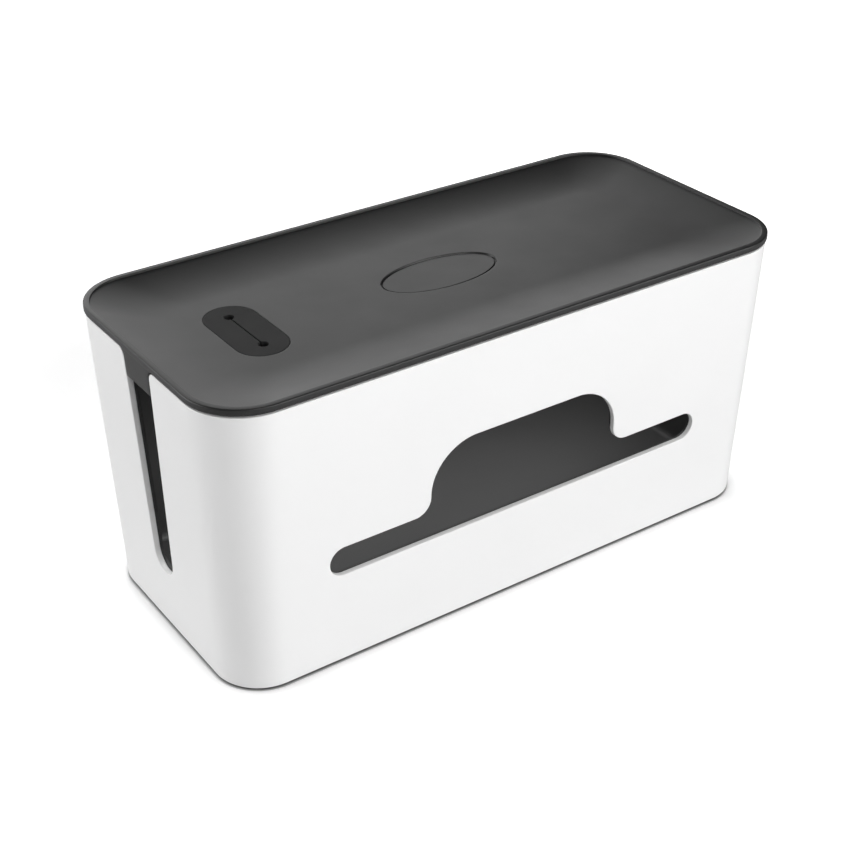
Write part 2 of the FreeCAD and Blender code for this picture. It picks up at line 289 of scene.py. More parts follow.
def shrunk(line, shares=(1.0, 0.5, 0.0)):
    """Flat surface from an outline in to the Z axis: each row is the outline times a share."""
    share = np.asarray(shares, dtype=float)[:, None, None]
    return line * np.concatenate([share, share, np.ones_like(share)], axis=-1)


def mirrored(grids, turn):
    """The grids and a mirrored copy of each; turn holds -1 for the axis that is turned round."""
    return grids + [grid * turn for grid in grids]


def edge_profile(radius, thickness, guard, steps=4):
    """Section of a rounded free edge, as rows of (distance back from the edge, depth).

    It runs along the outer face, round a quarter circle, across the thickness and back along
    the inner face; the guard rows keep the flat faces beside it flat in the shading."""
    turn = np.linspace(0.0, RIGHT, steps + 1)
    front = np.stack([radius * (1 - np.sin(turn)), radius * (1 - np.cos(turn))], axis=-1)
    back = front[::-1] * [1, -1] + [0, thickness]
    return np.concatenate([[[radius + guard, 0]], front, back, [[radius + guard, thickness]]])


def base_profile(low_z, inset, radius, steps=5):
    """Section of a rounded base edge, as rows of (height, inset) on a quarter circle."""
    turn = np.linspace(RIGHT, 0.0, steps + 1)
    return low_z + radius * (1 - np.cos(turn)), inset + radius * (1 - np.sin(turn))


def add_piece(name, grids, body, node, material):
    """Welds grids of points into one smooth mesh object that stands for a node.

    Doubled points are merged, and then all faces are turned outwards."""
    points = []
    faces = []
    count = 0
    for grid in grids:
        rows, columns = grid.shape[:2]
        index = count + np.arange(rows * columns).reshape(rows, columns)
        corners = [index[:-1, :-1], index[:-1, 1:], index[1:, 1:], index[1:, :-1]]
        points.append(grid.reshape(-1, 3))
        faces.append(np.stack(corners, axis=-1).reshape(-1, 4))
        count += rows * columns
    points = np.concatenate(points)
    faces = np.concatenate(faces)

    mesh = bpy.data.meshes.new(name)
    mesh.vertices.add(len(points))
    mesh.vertices.foreach_set("co", points.astype(np.float32).ravel())
    mesh.loops.add(faces.size)
    mesh.loops.foreach_set("vertex_index", faces.astype(np.int32).ravel())
    mesh.polygons.add(len(faces))
    mesh.polygons.foreach_set("loop_start", np.arange(0, faces.size, 4, dtype=np.int32))
    mesh.update(calc_edges=True)
    built = bmesh.new()
    built.from_mesh(mesh)
    bmesh.ops.remove_doubles(built, verts=built.verts, dist=2e-6)
    bmesh.ops.dissolve_degenerate(built, edges=built.edges, dist=1e-6)
    bmesh.ops.recalc_face_normals(built, faces=built.faces)
    open_edges = sum(1 for edge in built.edges if not edge.is_manifold)
    built.to_mesh(mesh)
    built.free()
    if open_edges:
        raise RuntimeError(f"{name} has {open_edges} open or doubled edges")
    mesh.polygons.foreach_set("use_smooth", np.ones(len(mesh.polygons), dtype=bool))
    mesh.materials.append(material)
    piece = bpy.data.objects.new(name, mesh)
    bpy.context.scene.collection.objects.link(piece)
    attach(piece, body)
    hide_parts(node)
    return piece


# Leaning walls of the shell and the liner

def wall_sizes(z):
    """Half length, half width and corner radius of the walls, each a straight line in height."""
    walls = settings().walls
    rise = (z - shell_low.z) / (shell_high.z - shell_low.z)
    half_x = shell_high.x - walls.end_lean * (1 - rise)
    half_y = shell_high.y - walls.side_lean * (1 - rise)
    radius = walls.base_corner_radius + (walls.corner_radius - walls.base_corner_radius) * rise
    return half_x, half_y, radius


def wall_rows(path, z, inset):
    """Stacked outlines of the walls, moved inwards by inset."""
    half_x, half_y, radius = wall_sizes(np.asarray(z, dtype=float))
    return carry(path, half_x - inset, half_y - inset, radius - inset, z)


def on_side(points, inset):
    """(x, z) points laid on the side wall: y is its half width at that height, less inset."""
    x, z = np.moveaxis(points, -1, 0)
    return np.stack([x, wall_sizes(z)[1] - inset, z], axis=-1)


def on_end(points, inset):
    """(y, z) points laid on the end wall: x is its half length at that height, less inset."""
    y, z = np.moveaxis(points, -1, 0)
    return np.stack([wall_sizes(z)[0] - inset, y, z], axis=-1)


def level_line(across, z):
    """Points at a height, as (across, z)."""
    return np.stack([across, np.full_like(across, z)], axis=-1)


def straight_half(z):
    """Half lengths of the straight part of the side and of the end at a height."""
    half_x, half_y, radius = wall_sizes(z)
    return half_x - radius, half_y - radius


def window_outline(grow, end_steps):
    """Half outline of the window in (x, z), each edge moved outwards by grow, in three parts.

    The parts are the level lower edge, the round end of the slot, and the way up over the
    slot's upper edge, the hump's foot, side and corner to the middle of its top."""
    cuts = settings().openings
    round_end = cuts.slot_height / 2
    middle_z = shell_low.z + cuts.slot_middle
    top_z = shell_low.z + cuts.hump_top
    end = (cuts.window_half - round_end, middle_z)
    foot = (cuts.hump_half + cuts.hump_foot, middle_z + round_end + cuts.hump_foot)
    corner = (cuts.hump_half - cuts.hump_corner, top_z - cuts.hump_corner)

    low_z = middle_z - round_end - grow
    slot_top_z = middle_z + round_end + grow
    lower = low_shares()[:, None] * [end[0], 0] + [0, low_z]
    rounded = arc(end, round_end + grow, -RIGHT, RIGHT, end_steps)
    upper = np.concatenate([
        run((end[0], slot_top_z), (foot[0], slot_top_z), 8),
        arc(foot, cuts.hump_foot - grow, -RIGHT, -2 * RIGHT, 14),
        run((cuts.hump_half + grow, foot[1]), (cuts.hump_half + grow, corner[1]), 1),
        arc(corner, cuts.hump_corner + grow, 0.0, RIGHT, 24),
        run((corner[0], top_z + grow), (0.0, top_z + grow), 8),
        [(0.0, top_z + grow)],
    ])
    return lower, rounded, upper


def low_shares():
    """Shares along half of a long side, closer together towards its corner."""
    return np.sin(np.linspace(0.0, RIGHT, 25))


def top_shares(window):
    """Shares along half of a rim, from the corner in to the middle.

    Over a window they have the spacing of its upper edge, so that straight lines join the two."""
    if not window:
        return low_shares()[::-1]
    upper = window_outline(0.0, 2)[2]
    steps = np.linalg.norm(np.diff(upper, axis=0), axis=1)
    return 1 - np.concatenate([[0.0], np.cumsum(steps)]) / steps.sum()


def slot_outline(grow, reveal, rim_z):
    """Half outline of an end slot in (y, z) from its mouth down to its foot.

    A mouth arc meets the rim level, a leaning side touches both arcs, and a foot arc ends on the
    middle line. The lean follows from the foot's radius and the half width at the rim."""
    cuts = settings().openings
    foot = np.array([0.0, shell_low.z + cuts.end_foot_middle])
    height = shell_high.z - foot[1]
    slant = math.hypot(height, cuts.end_rim_half)
    lean = math.acos(cuts.end_foot / slant) - math.atan2(height, cuts.end_rim_half)
    mouth_z = rim_z - (cuts.end_mouth - reveal)
    mouth_y = (cuts.end_foot + cuts.end_mouth) / math.cos(lean) + (mouth_z - foot[1]) * math.tan(lean)
    mouth = np.array([mouth_y, mouth_z])
    mouth_round = cuts.end_mouth - reveal - grow
    foot_round = cuts.end_foot + reveal + grow
    side = np.array([math.cos(lean), -math.sin(lean)])
    return np.concatenate([
        arc(mouth, mouth_round, RIGHT, 2 * RIGHT - lean, 8),
        run(mouth - mouth_round * side, foot + foot_round * side, 10),
        arc(foot, foot_round, -lean, -RIGHT, 14),
        [foot - [0.0, foot_round]],
    ])


# Steps along an end and round a corner, and the distance from a rounded edge to the next row,
# which keeps the flat face beside it flat in the shading
END_SHARES = np.linspace(1.0, 0.0, 15)
CORNER_STEPS = 24
GUARD = 0.4 * MM


def wall_face(inset, low_z, rim_z, reveal, back, window):
    """One quarter of a wall's face as grids, back by a distance from each free edge.

    Beside the slot, rows run level from the slot's edge to the corner; below it, from the middle
    line. The corner is ruled between its two outlines. A window is ringed by straight lines from
    its outline to the side's own outline."""
    slot = slot_outline(back, reveal, rim_z)
    below = np.linspace(slot[-1, 1], low_z, 7)[1:]
    levels = np.concatenate([slot[:, 1], below])
    inner = np.concatenate([slot[:, 0], np.zeros_like(below)])[:, None]
    straight_x, straight_y = straight_half(levels)
    y = inner + END_SHARES * (straight_y[:, None] - inner)
    end = on_end(level_line(y, levels[:, None]), inset)
    corner = quarter_path(np.ones(1), CORNER_STEPS, np.ones(1))
    grids = [end, wall_rows(corner, levels, inset)]
    if not window:
        x = low_shares() * straight_x[:, None]
        return grids + [on_side(level_line(x, levels[:, None]), inset)]

    lower, rounded, upper = window_outline(back + reveal, len(levels) - 1)
    low_side = level_line(low_shares() * straight_x[-1], levels[-1])
    side = np.stack([straight_x, levels], axis=-1)[::-1]
    top = level_line(top_shares(True) * straight_x[0], levels[0])
    around_window = np.concatenate([lower[:-1], rounded, upper])
    around_side = np.concatenate([low_side[:-1], side[:-1], top])
    return grids + [on_side(ruled(around_window, around_side, 6), inset)]


def rim_band(inset, thickness, rim_z, reveal, window):
    """One quarter of the free edge that runs along the rim and down into the end slot.

    The rounded edge's section is carried along the side's rim, the corner's rim, the end's rim
    and the slot's outline; a row lies back from the edge by its first number and in by its second."""
    walls = settings().walls
    path = quarter_path(top_shares(window)[::-1], CORNER_STEPS, np.ones(1))
    rows = []
    for back, depth in edge_profile(walls.edge_radius, thickness, GUARD):
        z = rim_z - back
        slot = slot_outline(back, reveal, rim_z)
        straight_y = straight_half(z)[1]
        y = slot[0, 0] + END_SHARES[:-1] * (straight_y - slot[0, 0])
        beside = on_end(np.concatenate([level_line(y, z), slot]), inset + depth)
        rows.append(np.concatenate([wall_rows(path, z, inset + depth)[0][:-1], beside]))
    return np.array(rows)


def window_band(inset, thickness, reveal, end_steps):
    """Half of the window's rounded edge: the section carried round the window's outline."""
    walls = settings().walls
    rows = []
    for back, depth in edge_profile(walls.edge_radius, thickness, GUARD):
        lower, rounded, upper = window_outline(back + reveal, end_steps)
        rows.append(on_side(np.concatenate([lower[:-1], rounded, upper]), inset + depth))
    return np.array(rows)


def base_edge(inset, low_z, radius):
    """One quarter of a rounded base edge, with one level row inside it."""
    path = quarter_path(low_shares(), CORNER_STEPS, END_SHARES)
    z, insets = base_profile(low_z, inset, radius)
    return wall_rows(path, np.append(z, low_z), np.append(insets, insets[-1] + GUARD))


def foot_seat(line):
    """Level surface from a quarter of the base's outline to the seat of its foot, and the seat.

    The outline is closed along the two axes, and each of its points looks to the foot's centre:
    the seat's circles have their points at those angles. The circles go from beyond the seat's
    rim down its wall and in to the middle of its floor."""
    walls = settings().walls
    centre = (np.array(foot_low) + np.array(foot_high))[:2] / 2
    radius = (foot_high.x - foot_low.x) / 2 + walls.foot_clearance
    z = line[0, 2]
    corner = np.array([0.0, 0.0, z])
    line = np.concatenate([line[:-1], run(line[-1], corner, 40), run(corner, line[0], 24), line[:1]])
    angle = np.arctan2(line[:, 1] - centre[1], line[:, 0] - centre[0])
    radii = radius * np.array([1.08, 1.03, 1.0, 1.0, 0.97, 0.5, 0.0])
    heights = z + walls.foot_recess * np.array([0.0, 0.0, 0.03, 1.0, 1.0, 1.0, 1.0])
    x = centre[0] + radii[:, None] * np.cos(angle)
    y = centre[1] + radii[:, None] * np.sin(angle)
    seat = np.stack([x, y, heights[:, None] + 0 * x], axis=-1)
    return [ruled(line, seat[0], 4), seat]


def quarter_box(inset, thickness, base_z, base_round, floor_z, floor_round, rim_z, reveal, window):
    """One quarter of a box with leaning walls: both faces, the free edges and the two base edges.

    It returns the grids, and the outline that is left to close underneath."""
    walls = settings().walls
    back = walls.edge_radius + GUARD
    grids = wall_face(inset, base_z + base_round, rim_z, reveal, back, window)
    grids += wall_face(inset + thickness, floor_z + floor_round, rim_z, reveal, back, window)
    grids.append(rim_band(inset, thickness, rim_z, reveal, window))
    if window:
        end_steps = len(slot_outline(back, reveal, rim_z)) + 5
        grids.append(window_band(inset, thickness, reveal, end_steps))
    under = base_edge(inset, base_z, base_round)
    floor = base_edge(inset + thickness, floor_z, floor_round)
    grids += [under, floor, shrunk(floor[-1])]
    return grids, under[-1]


def whole_box(make_quarter):
    """All quarters of a box: two plain ones at the back, two with the window on the -Y side."""
    plain = make_quarter(False)
    fronted = [grid * [1, -1, 1] for grid in make_quarter(True)]
    return mirrored(plain + fronted, [-1, 1, 1])


# Materials

def new_material(name):
    """Empty node material; returns it with its node tree and its Object coordinates."""
    material = bpy.data.materials.new(name)
    material.use_nodes = True
    tree = material.node_tree
    tree.nodes.clear()
    place = tree.nodes.new("ShaderNodeTexCoord").outputs["Object"]
    return material, tree, place


def add_node(tree, kind, values=None, links=None, **options):
    """Node with its options set, fixed values in some of its inputs and links into others."""
    node = tree.nodes.new(kind)
    for name, option in options.items():
        setattr(node, name, option)
    for name, value in (values or {}).items():
        node.inputs[name].default_value = value
    for name, output in (links or {}).items():
        tree.links.new(output, node.inputs[name])
    return node


def noise(tree, place, scale, detail):
    """Noise in object space, with scale features to the metre; returns its grey value."""
    values = {"Scale": scale, "Detail": detail, "Roughness": 0.55}
    return add_node(tree, "ShaderNodeTexNoise", values, {"Vector": place}).outputs["Fac"]


def spread(tree, value, low, high):
    """The middle of a noise's range stretched from low to high."""
    values = {"From Min": 0.3, "From Max": 0.7, "To Min": low, "To Max": high}
    return add_node(tree, "ShaderNodeMapRange", values, {"Value": value}).outputs["Result"]


def tinted(tree, value, colour, change):
    """The colour made a little darker and lighter by a value."""
    darker = [part * (1 - change) for part in colour] + [1]
    lighter = [min(part * (1 + change), 1) for part in colour] + [1]
    values = {"A": darker, "B": lighter}
    node = add_node(tree, "ShaderNodeMix", values, {"Factor": value}, data_type="RGBA")
    return node.outputs["Result"]


def raised(tree, value, strength, distance, before=None):
    """Bump from a value, on top of an earlier bump where there is one."""
    links = {"Height": value}
    if before is not None:
        links["Normal"] = before
    values = {"Strength": strength, "Distance": distance}
    return add_node(tree, "ShaderNodeBump", values, links).outputs["Normal"]


def plastic(name, colour, roughness, tint, grain_scale, grain_depth, wave_depth, specular=0.5):
    """Moulded plastic or rubber: a fine grain, slow waves from the mould, and an uneven gloss."""
    material, tree, place = new_material(name)
    cloud = spread(tree, noise(tree, place, 22.0, 3.0), 0.0, 1.0)
    patch = noise(tree, place, 60.0, 4.0)
    wave = noise(tree, place, 45.0, 1.0)
    grain = noise(tree, place, grain_scale, 2.0)
    bumped = raised(tree, grain, 0.6, grain_depth, raised(tree, wave, 0.3, wave_depth))
    values = {"IOR": 1.5, "Specular IOR Level": specular}
    links = {
        "Base Color": tinted(tree, cloud, colour, tint),
        "Roughness": spread(tree, patch, roughness * 0.96, roughness * 1.04),
        "Normal": bumped,
    }
    shader = add_node(tree, "ShaderNodeBsdfPrincipled", values, links)
    add_node(tree, "ShaderNodeOutputMaterial", links={"Surface": shader.outputs["BSDF"]})
    return material


def white_plastic(finish):
    """Glossy white ABS with hardly any grain."""
    return plastic(
        "white_shell", finish.shell_colour, finish.shell_roughness, tint=0.006,
        grain_scale=1400.0, grain_depth=0.004 * MM, wave_depth=0.02 * MM,
    )


def liner_plastic(finish):
    """Dark grey ABS with the fine texture of the mould's inside."""
    return plastic(
        "dark_liner", finish.liner_colour, finish.liner_roughness, tint=0.05,
        grain_scale=1600.0, grain_depth=0.02 * MM, wave_depth=0.02 * MM,
    )


def lid_plastic(finish):
    """Satin dark grey ABS with a fine even grain."""
    return plastic(
        "grey_lid", finish.lid_colour, finish.lid_roughness, tint=0.03,
        grain_scale=1800.0, grain_depth=0.012 * MM, wave_depth=0.012 * MM, specular=0.4,
    )


def rubber(finish, name):
    """Soft near-black rubber, smooth to the touch and a little cloudy."""
    return plastic(
        name, finish.rubber_colour, finish.rubber_roughness, tint=0.08,
        grain_scale=2200.0, grain_depth=0.015 * MM, wave_depth=0.03 * MM, specular=0.2,
    )


def painted_contact_shadow(tree, reach, low):
    """Painted contact shadow for the floor's colour: its openness to the sky within a reach, from a low
    value at the box up to one.
    """
    sky = add_node(tree, "ShaderNodeAmbientOcclusion", {"Distance": reach}, samples=16)
    values = {"From Min": 0.35, "To Min": low}
    ramp = add_node(tree, "ShaderNodeMapRange", values, {"Value": sky.outputs["AO"]})
    return ramp.outputs["Result"]


def added(tree, first, second):
    """Sum of two shaders."""
    return add_node(tree, "ShaderNodeAddShader", links={0: first, 1: second}).outputs["Shader"]


def camera_ray(tree):
    """One where the camera looks at a surface itself, nought for its reflections and its light."""
    return add_node(tree, "ShaderNodeLightPath").outputs["Is Camera Ray"]


def far_glow(tree, place):
    """White glow that sets in away from the box, from 0.25 m to 0.7 m."""
    reach = add_node(tree, "ShaderNodeVectorMath", links={0: place}, operation="LENGTH")
    values = {"From Min": 0.25, "From Max": 0.7}
    ramp = add_node(tree, "ShaderNodeMapRange", values, {"Value": reach.outputs["Value"]})
    glow = add_node(tree, "ShaderNodeEmission", links={"Strength": ramp.outputs["Result"]})
    return glow.outputs["Emission"]


def floor_material(colour):
    """White studio floor. The camera sees it twice as light as it is and glowing far away, so that it
    burns out to white. Its colour carries a painted shadow that makes it darker where the box stands
    close over it."""
    material, tree, place = new_material("studio_floor")
    cloud = spread(tree, noise(tree, place, 3.0, 2.0), 0.0, 1.0)
    # Painted shadow: ambient occlusion near the box darkens the floor's colour, as a tight contact line
    # times a wider soft shade
    near = {0: painted_contact_shadow(tree, 1.6 * MM, 0.08), 1: painted_contact_shadow(tree, 14 * MM, 0.50)}
    painted_shadow = add_node(tree, "ShaderNodeMath", links=near, operation="MULTIPLY").outputs["Value"]
    bright = add_node(tree, "ShaderNodeBsdfDiffuse", links={"Color": painted_shadow}).outputs["BSDF"]
    seen = added(tree, added(tree, bright, bright), far_glow(tree, place))
    white = tinted(tree, cloud, colour, 0.004)
    matt = add_node(tree, "ShaderNodeBsdfDiffuse", links={"Color": white}).outputs["BSDF"]
    either = add_node(tree, "ShaderNodeMixShader", links={0: camera_ray(tree), 1: matt, 2: seen})
    add_node(tree, "ShaderNodeOutputMaterial", links={"Surface": either.outputs["Shader"]})
    return material


# Pieces

class BuildShell(bpy.types.Operator):
    """Build the white outer shell with its window, end slots and seats for the feet"""
    bl_idname = "cable_box.outer_shell"
    bl_label = "Outer Shell"

    def execute(self, context):
        box = context.scene.cable_box
        walls = box.walls

        def quarter(window):
            grids, line = quarter_box(
                inset=0.0, thickness=walls.shell_wall, base_z=shell_low.z,
                base_round=walls.shell_base_round, floor_z=shell_low.z + walls.shell_floor,
                floor_round=walls.edge_radius, rim_z=shell_high.z - walls.rim_gap, reveal=0.0,
                window=window,
            )
            return grids + foot_seat(line)

        grids = whole_box(quarter)
        material = white_plastic(box.finish)
        add_piece("shell_moulding", grids, "box", "outer_shell", material)
        return {"FINISHED"}


class BuildLiner(bpy.types.Operator):
    """Build the dark liner that nests in the shell and carries the lid"""
    bl_idname = "cable_box.inner_liner"
    bl_label = "Inner Liner"

    def execute(self, context):
        box = context.scene.cable_box
        walls = box.walls

        def quarter(window):
            grids, line = quarter_box(
                inset=shell_high.x - liner_half_length(), thickness=walls.liner_wall,
                base_z=liner_low.z, base_round=walls.liner_base_round,
                floor_z=liner_low.z + walls.liner_floor, floor_round=walls.liner_floor_fillet,
                rim_z=liner_high.z, reveal=walls.liner_reveal, window=window,
            )
            return grids + [shrunk(line)]

        grids = whole_box(quarter)
        material = liner_plastic(box.finish)
        add_piece("liner_moulding", grids, "box", "inner_liner", material)
        return {"FINISHED"}


def liner_half_length():
    """Half length of the liner carried up to the height of the shell's rim."""
    walls = settings().walls
    rise = (shell_high.z - liner_high.z) / (shell_high.z - shell_low.z)
    return liner_high.x + walls.end_lean * rise


# Steps along the lid's sides, ends and corners; the step along its side at which a line of steps
# across the floor parts the grommet's seat from the sunk oval; and the steps of that line
LID_SHARES = np.linspace(0.0, 1.0, 61)
LID_END_SHARES = np.linspace(1.0, 0.0, 13)
LID_CORNER_STEPS = 20
SPLIT_SHARE = 33
SPLIT_STEPS = 48


def lid_path():
    """Closed path round the lid, close enough together for the ovals that are fitted into it."""
    return whole_path(LID_SHARES, LID_CORNER_STEPS, LID_END_SHARES)


def rounded_corner(corner, before, after, radius, steps=4):
    """Points of a section's rounded corner, by the curve that leaves each side at the radius.

    The curve is (1-t)^2 * start + 2t(1-t) * corner + t^2 * end."""
    corner = np.asarray(corner, dtype=float)
    ends = []
    for other in (before, after):
        away = np.asarray(other, dtype=float) - corner
        ends.append(corner + away * min(radius / np.linalg.norm(away), 0.5))
    t = np.linspace(0.0, 1.0, steps + 1)[:, None]
    return (1 - t) ** 2 * ends[0] + 2 * t * (1 - t) * corner + t ** 2 * ends[1]


def section(points, radii):
    """Section through given corners, each rounded by its own radius; nought leaves it sharp."""
    rows = []
    for index, radius in enumerate(radii):
        if radius:
            rows.append(rounded_corner(points[index], points[index - 1], points[index + 1], radius))
        else:
            rows.append(np.asarray(points[index], dtype=float)[None, :])
    return np.concatenate(rows)


def lid_rows(path, inset, z, corner):
    """Stacked outlines of the lid, moved inwards by inset, each with its own corner radius."""
    return carry(path, lid_high.x - inset, lid_high.y - inset, corner, z)


def dish_slope(drop, first_share, steps):
    """Slope of the dish from a share of its width in to the floor, as rows of (inset, z, corner).

    It starts at the step and levels out: z = step - height * (1 - (1 - share)^2)."""
    lid = settings().lid
    share = np.linspace(first_share, 1.0, steps + 1)
    step_z = lid_high.z - lid.rim_step
    height = step_z - grommet_high.z
    rim_corner = lid.corner_radius - lid.rim_width
    inset = lid.rim_width + share * lid.slope_width
    z = step_z - height * (1 - (1 - share) ** 2) - drop
    corner = rim_corner + (lid.floor_corner - rim_corner) * share
    return inset, z, corner


def split_floor(line, hole_centres):
    """A level outline cut in two by a straight line, each part as a closed line of points.

    Each part comes with the angles from its hole's centre to its points."""
    steps = len(LID_SHARES) - 1
    end_steps = len(LID_END_SHARES) - 1
    back = end_steps + LID_CORNER_STEPS + steps + SPLIT_SHARE
    front = back + 2 * (steps - SPLIT_SHARE + LID_CORNER_STEPS + end_steps)
    forwards = run(line[back], line[front], SPLIT_STEPS)
    backwards = run(line[front], line[back], SPLIT_STEPS)
    left = np.concatenate([line[back:front], backwards, line[back:back + 1]])
    right = np.concatenate([line[front:-1], line[:back], forwards, line[front:front + 1]])
    parts = []
    for points, centre in zip((left, right), hole_centres):
        angle = np.arctan2(points[:, 1] - centre[1], points[:, 0] - centre[0])
        parts.append((points, angle))
    return parts


def stadium_ring(angle, half_width, half_length, z):
    """Stadium outlines met by rays from the grommet's centre, one row for each half width.

    A ray meets the straight side at half_width / |cos|, or else the round end, at
    c * |sin| + sqrt(r^2 - (c * cos)^2) with c the end's distance from the centre."""
    half_width, half_length, z = as_rows(half_width, half_length, z)
    cos, sin = np.cos(angle), np.sin(angle)
    end = half_length - half_width
    to_side = half_width / np.maximum(np.abs(cos), 1e-9)
    under_root = np.maximum(half_width ** 2 - (end * cos) ** 2, 0.0)
    to_end = end * np.abs(sin) + np.sqrt(under_root)
    reach = np.where(to_side * np.abs(sin) <= end, to_side, to_end)
    x = grommet_x + reach * cos
    return np.stack([x, reach * sin, z + 0 * x], axis=-1)


def oval_ring(angle, half_length, half_width, z):
    """Ellipses met by rays from the lid's middle: a * b / sqrt((b cos)^2 + (a sin)^2)."""
    half_length, half_width, z = as_rows(half_length, half_width, z)
    cos, sin = np.cos(angle), np.sin(angle)
    reach = half_length * half_width / np.hypot(half_width * cos, half_length * sin)
    x = reach * cos
    return np.stack([x, reach * sin, z + 0 * x], axis=-1)


def floor_guard(path, drop):
    """One level row just inside the dish's floor, which keeps the floor flat in the shading."""
    lid = settings().lid
    inset = lid.rim_width + lid.slope_width + GUARD
    return lid_rows(path, inset, grommet_high.z - drop, lid.floor_corner - GUARD)


def lid_top(path):
    """The lid's upper face from the dish's floor out over its slope, the step and the rim."""
    lid = settings().lid
    top_z = lid_high.z
    under_z = top_z - lid.edge_height
    inset, z, corner = dish_slope(0.0, 0.0, 26)
    rim = section(
        [(lid.rim_width + 1.2 * MM, z[1]), (lid.rim_width, z[0]), (lid.rim_width, top_z),
         (0.0, top_z), (0.0, under_z), (3 * MM, under_z)],
        [0, 0.15 * MM, 0.25 * MM, lid.edge_round, 0.35 * MM, 0],
    )[1:-1]
    return np.concatenate([
        floor_guard(path, 0.0),
        lid_rows(path, inset[:0:-1], z[:0:-1], corner[:0:-1]),
        lid_rows(path, rim[:, 0], rim[:, 1], lid.corner_radius - rim[:, 0]),
    ])


def lip_insets():
    """How far in from the shell's outer face the outer and the inner face of the lip stand."""
    box = settings()
    outer = shell_high.x - liner_half_length() + box.walls.liner_wall + box.lid.lip_clearance
    return outer, outer + box.lid.lip_wall


def lid_underside(path):
    """The lid's lower face from its outer edge in over the liner's rim, the lip and the dish."""
    box = settings()
    lid = box.lid
    lip_outer, lip_inner = lip_insets()
    lip_z = liner_high.z - lid.lip_drop
    under_z = lid_high.z - lid.edge_height
    seat = box.walls.shell_wall + lid.lip_clearance
    plate_inset = lip_inner + lid_high.x - shell_high.x
    first_share = (plate_inset - lid.rim_width) / lid.slope_width
    inset, z, corner = dish_slope(lid.thickness, first_share, 20)
    drop = section(
        [(seat, under_z + MM), (seat, under_z), (seat, liner_high.z), (lip_outer, liner_high.z),
         (lip_outer, lip_z), (lip_inner, lip_z), (lip_inner, z[0]), (lip_inner, z[0] + MM)],
        [0, 0.2 * MM, 0.2 * MM, 0.2 * MM, 0.4 * MM, 0.4 * MM, 0, 0],
    )[1:-1]
    return np.concatenate([
        wall_rows(path, drop[:, 1], drop[:, 0]),
        lid_rows(path, inset[1:], z[1:], corner[1:]),
        floor_guard(path, lid.thickness),
    ])


def grommet_seat(angle):
    """Rings of the grommet's hole, from the dish's floor over the ledge and round the collar."""
    box = settings()
    lid, grommet = box.lid, box.grommet
    floor_z = grommet_high.z
    ledge_z = floor_z - grommet.flange
    under_z = floor_z - lid.thickness
    collar_z = under_z - lid.collar_height
    ledge = grommet.flange_overlap
    collar = -lid.collar_width
    rows = section(
        [(-2 * MM, floor_z), (0.0, floor_z), (0.0, ledge_z), (ledge, ledge_z), (ledge, collar_z),
         (collar, collar_z), (collar, under_z), (collar - GUARD, under_z)],
        [0, 0.12 * MM, 0.15 * MM, 0.2 * MM, 0.2 * MM, 0.3 * MM, 0.2 * MM, 0],
    )
    rows[0, 0] = rows[1, 0] - 0.5 * MM
    half_width = grommet_high.x - grommet_x + grommet.clearance
    half_length = grommet_high.y + grommet.clearance
    return stadium_ring(angle, half_width - rows[:, 0], half_length - rows[:, 0], rows[:, 1])


def sunk_oval(angle):
    """Rings of the sunk oval, from the dish's floor down into the fine groove and to its middle."""
    lid = settings().lid
    floor_z = grommet_high.z
    sunk_z = floor_z - lid.oval_depth
    groove_z = sunk_z - lid.oval_groove
    rows = section(
        [(2 * MM, floor_z), (0.0, floor_z), (-0.3 * MM, groove_z), (-0.7 * MM, groove_z),
         (-1.0 * MM, sunk_z), (-3 * MM, sunk_z)],
        [0, 0.15 * MM, 0.15 * MM, 0.15 * MM, 0.15 * MM, 0],
    )
    rows[0, 0] = rows[1, 0] + 0.5 * MM
    rows[-1, 0] = rows[-2, 0] - 0.5 * MM
    half_length = lid.oval_length / 2 + rows[:, 0]
    half_width = lid.oval_width / 2 + rows[:, 0]
    return oval_ring(angle, half_length, half_width, rows[:, 1])


def lid_plate():
    """The lid's plate as grids: the faces out to its edge and the two parts of its floor.

    The left part of the floor holds the grommet's seat and the right part the sunk oval."""
    lid = settings().lid
    path = lid_path()
    surface = np.concatenate([lid_top(path), lid_underside(path)])
    centres = ((grommet_x, 0.0), (0.0, 0.0))
    (left, hole_angle), (right, oval_angle) = split_floor(surface[0], centres)
    low_left, low_right = [points for points, angle in split_floor(surface[-1], centres)]
    hole = grommet_seat(hole_angle)
    oval = sunk_oval(oval_angle)
    below = oval_ring(oval_angle, lid.oval_length / 2, lid.oval_width / 2, low_right[0, 2])
    return [
        surface,
        ruled(left, hole[0], 4), hole, ruled(hole[-1], low_left, 4),
        ruled(right, oval[0], 6), oval, shrunk(oval[-1]),
        ruled(low_right, below[0], 6), shrunk(below[0]),
    ]


def capped(path, half_x, half_y, radius, z, edge):
    """Upright block with rounded ends: stacked outlines that draw in by a quarter circle."""
    turn = np.linspace(0.0, RIGHT, 5)
    draw_in = edge * (1 - np.sin(turn))
    rise = edge * (1 - np.cos(turn))
    first = carry(path, half_x[0] - draw_in, half_y[0] - draw_in, radius - draw_in, z[0] + rise)
    last = carry(path, half_x[-1] - draw_in, half_y[-1] - draw_in, radius - draw_in, z[-1] - rise)
    middle = carry(path, half_x[1:-1], half_y[1:-1], radius, z[1:-1])
    body = np.concatenate([first, middle, last[::-1]])
    return np.concatenate([shrunk(body[0], (0.0, 0.9)), body, shrunk(body[-1], (0.9, 0.0))])


def tie_root():
    """Height at which the tongues and their ribs end inside the lid."""
    return lid_high.z - settings().lid.edge_height + MM


def leaning(block, inset):
    """An upright block moved out to the end wall, to lean with it at an inset from its face."""
    x = wall_sizes(block[..., 2])[0] - inset
    return block + x[..., None] * [1, 0, 0]


